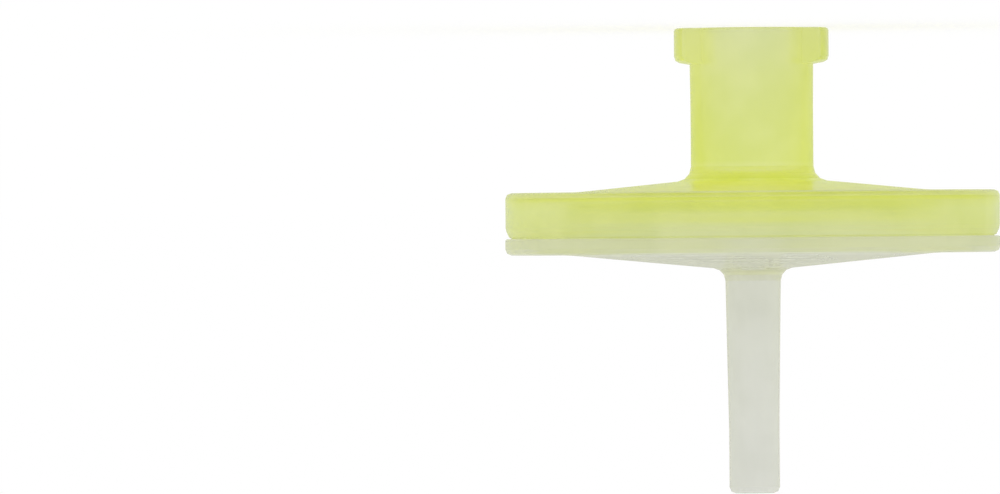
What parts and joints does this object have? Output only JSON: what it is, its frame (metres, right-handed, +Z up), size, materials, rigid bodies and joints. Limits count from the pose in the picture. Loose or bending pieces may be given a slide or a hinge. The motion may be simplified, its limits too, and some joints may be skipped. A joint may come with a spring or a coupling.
{
  "type": "syringe filter",
  "caption": "Disc-shaped syringe filter: two welded translucent housings around a membrane, with a female Luer lock inlet and a slender tube outlet.",
  "frame": {"origin": "centre of the inlet's mouth, on the surface that the filter stands on", "axes": "+Z up along the flow axis, from the inlet to the outlet; +X from lug to lug. The filter stands turned over, on the flat mouth of its inlet hub, with the outlet tube up"},
  "size_m": [0.025, 0.025, 0.0235],
  "materials": {
    "yellow_polypropylene": "translucent frosted yellow-green polypropylene",
    "membrane": "white porous membrane",
    "natural_polypropylene": "translucent natural polypropylene"
  },
  "bodies": {
    "root": {"inlet_housing": "yellow_polypropylene", "membrane": "membrane", "outlet_housing": "natural_polypropylene"}
  },
  "joints": []
}
